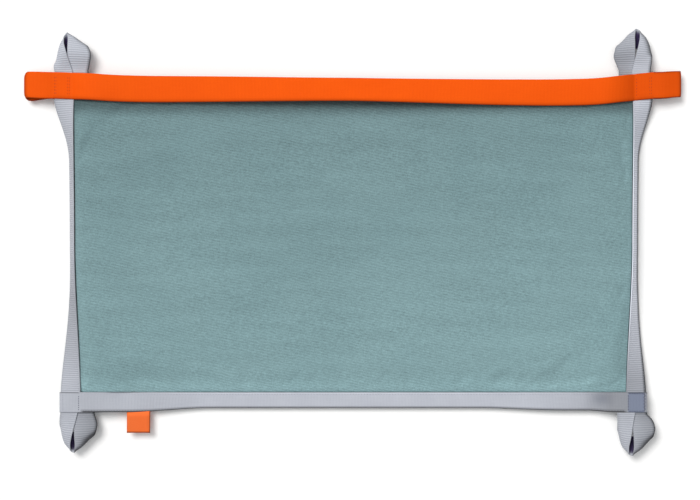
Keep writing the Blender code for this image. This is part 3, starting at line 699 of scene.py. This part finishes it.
def loopMarks(spec, points):
    # painted shade: one leg is painted darker than the other; the inner face is painted dark; what faces
    # right or down, away from the lamp, is painted darker
    out = normals(points)
    upper = bool(out[12, points.shape[1] // 2, 2] > 0.0)
    out = out if upper else -out
    toward = cone["rightward"] * out[..., 0] + cone["downward"] * np.maximum(-out[..., 1], 0.0)
    facing = smooth(*cone["facing"], toward)

    def shade(along, across):
        leg = mix(spec["frontShade"], spec["backShade"], smooth(*cone["legTurn"], along))
        away = np.clip(across / tapeWidth + 0.5, 0.0, 1.0)
        tone = leg * mix(*cone["legTones"], away)
        right = along > 0.0 if spec["hand"] > 0 else along < 0.0
        edge = paintedEdgeShade(across, halfTape, cone["paintedEdgeShade"], cone["rimDeep"])
        outer = together(tone, np.where(right, 1.0, cone["farRim"]) * edge, -cone["turned"] * facing)
        return (outer, tone) if upper else (tone, outer)

    def innerShade(along, across):
        # painted shade on the inner face, only round the cone: the legs' under faces are plain tape
        inner = smooth(*cone["innerShadeEdge"], across + halfTape)
        inner = inner * (1.0 - smooth(*cone["innerShadeRun"], np.abs(along)))
        return (0.0 * inner, inner) if upper else (inner, 0.0 * inner)
    return {"shade": shade, "innerShade": innerShade}


def makeCornerLoop(spec):
    section = coneSection(spec)
    axis = axisTop if spec["end"] > 0 else axisBottom
    depth = abs(spec["tip"][1] - axis)
    half = tapeColumns(tapeWidth, 9)
    across = half + cone["offset"] + halfTape
    frontEnd = legEnds(spec, section, True, across, depth + cone["inset"])
    backEnd = legEnds(spec, section, False, across, depth - cone["backStart"])
    share = np.linspace(0.0, 1.0, 90)[:, None]
    along = mix(-frontEnd[None, :], backEnd[None, :], share)
    band = bandPoints(spec, section, along, across[None, :] + 0.0 * along)
    outer = np.clip((across - cone["offset"]) / (cone["fullShare"] * tapeWidth), 0.0, 1.0)[None, :]
    draw = mix(drawn(spec["frontDraw"], band[..., 1]), drawn(spec["backDraw"], band[..., 1]),
               smooth(-cone["turn"], cone["turn"], along))
    band[..., 0] += spec["hand"] * outer * draw
    # the mouth's rim is drawn together at the tip
    rimShare = 1.0 - smooth(0.0, cone["mouthDeep"], across - cone["offset"])[None, :]
    rimShare = rimShare * (1.0 - smooth(*cone["mouthRun"], np.abs(along)))
    slope = math.tan(math.radians((spec["wide"] - spec["narrow"]) / 2))
    band[..., 0] -= cone["mouth"] * rimShare * (band[..., 0] - band[..., 1] * slope)
    # both legs run on under the strap or the bottom tape, where they are sewn
    lap, tail = np.linspace(cone["sewnLap"], 0.8 * mm, 7), np.linspace(1.2 * mm, cone["tail"], 9)
    frontMore = np.repeat(band[:1], len(lap), axis=0)
    frontMore[:, :, 1] += lap[:, None]
    backMore = np.repeat(band[-1:], len(tail), axis=0)
    backMore[:, :, 1] += tail[:, None]
    band = np.concatenate([frontMore, band, backMore])
    middle = along.mean(axis=1)
    run = np.concatenate([middle[0] - lap, middle, middle[-1] + tail])
    points = np.empty_like(band)
    points[..., 0] = spec["tip"][0] + spec["hand"] * band[..., 0]
    points[..., 1] = spec["tip"][1] - spec["end"] * band[..., 1]
    points[..., 2] = spec["height"] + band[..., 2]
    if spec["hand"] * spec["end"] < 0:
        points, half = points[:, ::-1], half[::-1]
    made = tape("corner_loop_" + spec["place"], points, run, half, greyTape, **loopMarks(spec, points))
    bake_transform(made)
    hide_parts("loop_" + spec["place"], "loop_tail_" + spec["place"])


for spec in corners:
    makeCornerLoop(spec)
print("corner loops made")


# The orange strap: sewn ends, and a bow between them

strap = {"sewnTo": 421 * mm, "freeHalf": 372 * mm, "hinge": 38 * mm, "middle": 41 * mm,
         "hingeTilt": math.radians(5), "middleTilt": math.radians(27),
         "curl": 1.1 * mm, "bendTo": 330 * mm, "bendHeight": 20 * mm, "low": 19.8 * mm,
         "lowTone": 0.24, "lowDeep": 7 * mm, "endTone": 0.10, "endRun": (350 * mm, 440 * mm), "paintedEdgeShade": 0.35,
         "end": 452, "places": 227, "rounds": 30,
         "line": [(-452, 235.2), (-430, 234.9), (-395, 232.6), (-365, 229.6), (-305, 228.0),
                  (-155, 228.0), (0, 227.6), (145, 224.6), (220, 223.3), (295, 222.8), (340, 223.6),
                  (370, 224.6), (400, 229.2), (430, 233.2), (452, 235.2)]}


def strapMiddle(x):
    # a smooth line, rounded off over its drawn points
    places = np.linspace(-strap["end"], strap["end"], strap["places"])
    line = np.interp(places, *np.array(strap["line"]).T)
    for _ in range(strap["rounds"]):
        line[1:-1] = (line[:-2] + line[1:-1] * 2 + line[2:]) / 4
    return np.interp(np.asarray(x) / mm, places, line) * mm


def strapSurface(x, across):
    past = (np.abs(x) - strap["freeHalf"]) / (strap["sewnTo"] - strap["freeHalf"])
    sewn = 1.0 - np.clip(past, 0, 1) ** 2
    bow = 1.0 - smooth(0.0, strap["freeHalf"], np.abs(x))
    height = mix(mix(strap["low"], strap["hinge"], sewn), strap["middle"], bow)
    tilt = mix(strap["hingeTilt"] * sewn, strap["middleTilt"], bow)
    curl = strap["curl"] * (1.0 - (2 * across / strapWidth) ** 2) * sewn
    return np.stack([x + 0.0 * across, strapMiddle(x) + across * np.cos(tilt),
                     height - across * np.sin(tilt) + curl], axis=-1)


def strapShade(along, across):
    # painted shade, deeper along its lower edge where it curls down, and at the right-hand end
    low = strap["lowTone"] * smooth(halfStrap - strap["lowDeep"], halfStrap, -across)
    end = strap["endTone"] * smooth(*strap["endRun"], along)
    return together(-low, -end, paintedEdgeShade(-across, halfStrap, strap["paintedEdgeShade"]))


def makeStrap():
    across = tapeColumns(strapWidth, 11)
    reach = axisEnd - 1.2 * mm
    for side, name in ((-1, "left"), (1, "right")):
        along = np.linspace(-reach, 0.0, 190) if side < 0 else np.linspace(0.0, reach, 190)
        points = sheetOf(strapSurface, along, across)[:, ::-1]
        made = tape("strap_" + name, points, along, across[::-1], orangeTape, shade=strapShade)
        line = float(strapMiddle(side * strap["freeHalf"]))
        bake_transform(made)
        nodes = ["strap_anchor_" + name] + (["handle_strap"] if side < 0 else [])
        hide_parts(*nodes)


makeStrap()
print("strap made")


endLoop = {"droop": 2.5 * mm, "nose": 2.6 * mm, "upperSwell": 1.3 * mm, "lowerSwell": 3.1 * mm,
           "level": 0.15, "tail": 18 * mm, "lower": 16.2 * mm, "start": axisEnd - 1.2 * mm,
           "back": axisEnd - 1.3 * mm, "folded": -0.45, "bendFrom": 1.0 * mm, "bendTo": 7.0 * mm,
           "bendHeight": 19 * mm}
endShapes = {"left": {"reach": 494.5 * mm, "corner": 4.2 * mm, "power": 7, "skew": 1.2 * mm,
                      "underSkew": -4.0 * mm, "tone": 0.0, "top": 0.0, "low": 0.45},
             "right": {"reach": 492.4 * mm, "corner": 1.0 * mm, "power": 9, "skew": 2.0 * mm,
                       "underSkew": 2.6 * mm, "tone": -0.12, "top": 0.5, "low": 0.6}}


def makeEndLoop(side, name):
    across = tapeColumns(strapWidth, 11)
    shape = endShapes[name]
    noseX = shape["reach"] - endLoop["nose"] - tapeThickness / 2
    noseZ = strap["low"] - endLoop["droop"] - endLoop["nose"]
    profile = []
    for t in np.linspace(0.0, 1.0, 24):
        z = mix(strap["low"], noseZ + endLoop["nose"], float(smooth(endLoop["level"], 1.0, t)))
        z += endLoop["upperSwell"] * math.sin(t * math.pi)
        profile.append((mix(endLoop["start"], noseX, t), z))
    for t in np.linspace(0.0, 1.0, 15)[1:]:
        profile.append((noseX + endLoop["nose"] * math.sin(t * math.pi),
                        noseZ + endLoop["nose"] * math.cos(t * math.pi)))
    for t in np.linspace(0.0, 1.0, 24)[1:]:
        z = mix(noseZ - endLoop["nose"], endLoop["lower"], float(smooth(0.0, 1.0 - endLoop["level"], t)))
        z -= endLoop["lowerSwell"] * math.sin(t * math.pi)
        profile.append((mix(noseX, endLoop["back"], t), z))
    for t in np.linspace(0.0, 1.0, 6)[1:]:
        profile.append((endLoop["back"] - endLoop["tail"] * t, endLoop["lower"]))
    profile = np.array(profile)
    steps = np.hypot(*np.diff(profile, axis=0).T)
    run = np.concatenate([[0.0], np.cumsum(steps)]) + endLoop["start"]
    x, z = profile[:, 0][:, None], profile[:, 1][:, None]
    # the fold's corners are rounded off a little, as the tape's edges draw in
    past = smooth(axisEnd + 18 * mm, shape["reach"], x)
    out = smooth(axisEnd + 4 * mm, shape["reach"], x)
    x = x - shape["corner"] * past * (np.abs(across)[None, :] * 2 / strapWidth) ** shape["power"]
    under = smooth(0.35, 0.65, np.linspace(0.0, 1.0, len(profile)))[:, None]
    skew = mix(shape["skew"], shape["underSkew"], under)
    y = strapLine + across[None, :] * (1.0 - 0.02 * past) + skew * out
    points = np.stack([side * x, y, z + 0.0 * x], axis=2)
    if side < 0:
        points, across = points[:, ::-1], across[::-1]
    points, across = points[:, ::-1], across[::-1]
    nose = run[len(run) // 2] - 4 * mm

    def shade(along, across):
        # painted shade on the lower layer and the fold, along the long edges, and over the whole
        # right-hand loop
        folded = endLoop["folded"] * smooth(nose - 5 * mm, nose + 1 * mm, np.abs(along))
        return together(shape["tone"], folded, paintedEdgeShade(across, halfStrap, shape["top"]),
                        paintedEdgeShade(-across, halfStrap, shape["low"]))

    made = tape("end_loop_" + name, points, side * run, across, orangeTape, shade=shade)
    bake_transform(made)
    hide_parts("end_loop_" + name, "strap_tail_" + name)


makeEndLoop(-1, "left")
makeEndLoop(1, "right")
print("end loops made")


label = {"place": -322.6 * mm, "width": 35 * mm, "length": 31.4 * mm, "thickness": 0.9 * mm,
         "top": -254.9 * mm, "height": 14.7 * mm, "under": 5 * mm, "step": 2.2 * mm, "curl": 0.9 * mm,
         "lowTone": -0.62, "topTone": 0.22, "rightRim": 0.60, "leftRim": 0.15, "bendFrom": 0.5 * mm,
         "bendTo": 5.0 * mm}


def labelShade(along, across):
    # painted shade along the lower and side edges, and painted light near the top, where the label comes
    # from under the tape
    low = label["lowTone"] * smooth(label["length"] - 2.8 * mm, label["length"] - 1.2 * mm, along)
    top = label["topTone"] * (1.0 - smooth(2 * mm, 9 * mm, along))
    half = label["width"] / 2
    return together(low, top, paintedEdgeShade(across, half, label["rightRim"]), paintedEdgeShade(-across, half, label["leftRim"]))


def makeLabel():
    across = tapeColumns(label["width"], 9)
    down = np.linspace(-label["under"], label["length"], 30)
    x = label["place"] + across[None, :] + 0.0 * down[:, None]
    y = label["top"] - down[:, None] + 0.0 * x
    under = 1.0 - smooth(-label["under"], 1.0 * mm, down)[:, None]
    curl = (down[:, None] / label["length"]) ** 2 * (across[None, :] / label["width"] * 2) ** 2
    z = label["height"] - label["step"] * under + label["curl"] * curl
    points = np.stack([x, y, z + 0.0 * x], axis=2)
    made = tape("side_label_tab", points, down, across, labelCloth, label["thickness"], shade=labelShade)
    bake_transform(made)
    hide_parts("side_label")


makeLabel()
print("label made")


# Stitches: short threads that dip into the tape at both ends

def threadMesh(name, stitches, radius, material):
    # each stitch is (point, point, normal)
    points, faces = [], []
    sides, rings = thread["sides"], thread["rings"]
    for start, end, up in stitches:
        run = end - start
        length = np.linalg.norm(run)
        run = run / length
        up = up / np.linalg.norm(up)
        wide = np.cross(run, up)
        first = len(points)
        for i in range(rings):
            t = i / (rings - 1)
            rise = math.sin(math.pi * t) ** 0.5
            middle = start + run * length * t + up * radius * (rise * 1.1 - 0.75)
            size = radius * (0.45 + 0.55 * rise)
            for k in range(sides):
                turn = 2 * math.pi * k / sides
                points.append(middle + size * (math.cos(turn) * wide + math.sin(turn) * up))
        for i in range(rings - 1):
            for k in range(sides):
                a, b = first + i * sides + k, first + i * sides + (k + 1) % sides
                faces.append((a, b, b + sides, a + sides))
        faces.append(tuple(first + k for k in range(sides)))
        faces.append(tuple(first + (rings - 1) * sides + k for k in reversed(range(sides))))
    made = meshObject(name, points, faces, material)
    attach(made, root)
    return made


def onTape(surface, places):
    # places along and across a tape, as (point on its upper face, normal)
    made = []
    for along, across in places:
        here = surface(np.array(along), np.array(across))
        ahead = surface(np.array(along + 0.5 * mm), np.array(across))
        aside = surface(np.array(along), np.array(across + 0.5 * mm))
        up = np.cross(ahead - here, aside - here)
        up = up / np.linalg.norm(up)
        if up[2] < -1e-6:
            up = -up
        made.append((here + up * tapeThickness / 2, up))
    return made


def runningStitch(surface, start, end, pitch, gap):
    # a straight row from (along, across) to (along, across)
    start, end = np.array(start), np.array(end)
    count = max(1, int(round(np.linalg.norm(end - start) / pitch)))
    made = []
    for i in range(count):
        ends = [start + (end - start) * (i + share) / count for share in (gap / 2, 1 - gap / 2)]
        (a, up), (b, _) = onTape(surface, ends)
        made.append((a, b, up))
    return made


def zigzag(surface, start, end, pitch, width):
    start, end = np.array(start), np.array(end)
    run = end - start
    length = np.linalg.norm(run)
    across = np.array([-run[1], run[0]]) / length
    count = int(round(length / pitch))
    places = [start + run * i / count + across * width / 2 * (-1) ** i for i in range(count + 1)]
    spots = onTape(surface, places)
    return [(a, b, up) for (a, up), (b, _) in zip(spots, spots[1:])]


rows = {"edge": 4.2 * mm, "edgeGap": 0.42, "inset": 12.6 * mm, "sideEnds": (-222 * mm, 214 * mm),
        "bottomEnds": (-409 * mm, 409 * mm), "strapReach": 14 * mm, "strapPitch": 4.6 * mm,
        "strapGap": 0.50, "strap": (-448.0, -445.8, -428.8, -425.8, 424.6, 444.4, 447.0),
        "radius": 0.24 * mm, "boldRadius": 0.34 * mm, "slateRadius": 0.52 * mm}
# where the bottom tape is sewn over the side tapes, in mm: start and end as (along, across), the pitch,
# and the width of a zigzag or the gap of a running row
sewnOver = {"slate": [((-411.8, -10.0), (-411.8, 12.6), 3.15, {"gap": 0.45}),
                      ((412.0, -11.5), (412.0, 12.5), 4.0, {"gap": 0.40}),
                      ((436.2, -12.5), (436.2, 12.5), 2.4, {"width": 3.2}),
                      ((412, -13.0), (437, -13.0), 2.6, {"gap": 0.36}),
                      ((412, 13.2), (437, 13.2), 2.6, {"gap": 0.36})],
            "grey": [((-436.0, -12.0), (-436.0, 12.5), 1.6, {"width": 1.3})]}


def edgeRows(surface, ends):
    made = []
    for inset in (-rows["inset"], rows["inset"]):
        made += runningStitch(surface, (ends[0], inset), (ends[1], inset), rows["edge"], rows["edgeGap"])
    return made


def sewnRows(color):
    made = []
    for start, end, pitch, kind in sewnOver[color]:
        start, end, pitch = np.array(start) * mm, np.array(end) * mm, pitch * mm
        if "width" in kind:
            made += zigzag(bottomSurface, start, end, pitch, kind["width"] * mm)
        else:
            made += runningStitch(bottomSurface, start, end, pitch, kind["gap"])
    return made


def makeStitches():
    grey = edgeRows(sideSurface(-1), rows["sideEnds"]) + edgeRows(sideSurface(1), rows["sideEnds"])
    grey += edgeRows(bottomSurface, rows["bottomEnds"]) + sewnRows("grey")
    slate, orange = sewnRows("slate"), []
    for x in rows["strap"]:
        orange += runningStitch(strapSurface, (x * mm, -rows["strapReach"]), (x * mm, rows["strapReach"]),
                                rows["strapPitch"], rows["strapGap"])
    for name, stitches, radius, material, slotName in (
            ("grey_stitches", grey, rows["radius"], greyThread, "grey_webbing"),
            ("slate_stitches", slate, rows["slateRadius"], slateThread, "grey_webbing"),
            ("orange_stitches", orange, rows["boldRadius"], orangeThread, "orange_webbing")):
        made = threadMesh(name, stitches, radius, material)


makeStitches()
print("stitches made")


# Floor, lights and camera

view = {"place": (-4.95 * mm, -11.7 * mm, 3.02), "lens": 102.9, "sensor": 36.0}
studio = {"floorSeen": (1.0, 1.0, 1.0, 1), "floorLit": (0.80, 0.80, 0.80, 1),
          "sky": (1.0, 1.0, 1.0, 1), "skyStrength": 0.37}
# each lamp: place it shines from, how wide its source looks, power and color
lamps = {"key": ((-1.2, 1.4, 2.5), math.radians(30), 2.18, (1.0, 0.99, 0.97)),
         "fill": ((-0.2, -0.2, 3.6), math.radians(50), 0.55, (0.97, 0.99, 1.0))}


def makeStudio():
    scene = bpy.context.scene
    mesh = bpy.data.meshes.new("floor")
    mesh.from_pydata([(-6, -6, 0), (6, -6, 0), (6, 6, 0), (-6, 6, 0)], [], [(0, 1, 2, 3)])
    floor = bpy.data.objects.new("floor", mesh)
    scene.collection.objects.link(floor)
    made, tree, shader = startMaterial("floor_white", 0.9, specular=0.0)
    seen = put(tree, "ShaderNodeLightPath").outputs["Is Camera Ray"]
    bright = blendColor(tree, seen, studio["floorLit"], studio["floorSeen"])
    tree.links.new(bright, shader.inputs["Base Color"])
    mesh.materials.append(made)
    world = bpy.data.worlds.new("studio")
    world.use_nodes = True
    sky = world.node_tree.nodes["Background"]
    sky.inputs["Color"].default_value = studio["sky"]
    sky.inputs["Strength"].default_value = studio["skyStrength"]
    scene.world = world
    for name, (place, spread, power, color) in lamps.items():
        lamp = bpy.data.lights.new(name, "SUN")
        lamp.angle = spread
        lamp.energy = power
        lamp.color = color
        made = bpy.data.objects.new(name, lamp)
        made.location = place
        made.rotation_euler = (-Vector(place)).to_track_quat("-Z", "Y").to_euler()
        scene.collection.objects.link(made)
    lens = bpy.data.cameras.new("camera")
    lens.lens = view["lens"]
    lens.sensor_width = view["sensor"]
    lens.clip_start = 0.05
    lens.clip_end = 50.0
    camera = bpy.data.objects.new("camera", lens)
    camera.location = view["place"]
    camera.rotation_euler = (0.0, 0.0, 0.0)
    scene.collection.objects.link(camera)
    scene.camera = camera
    scene.view_settings.view_transform = "Standard"


makeStudio()
print("studio made")
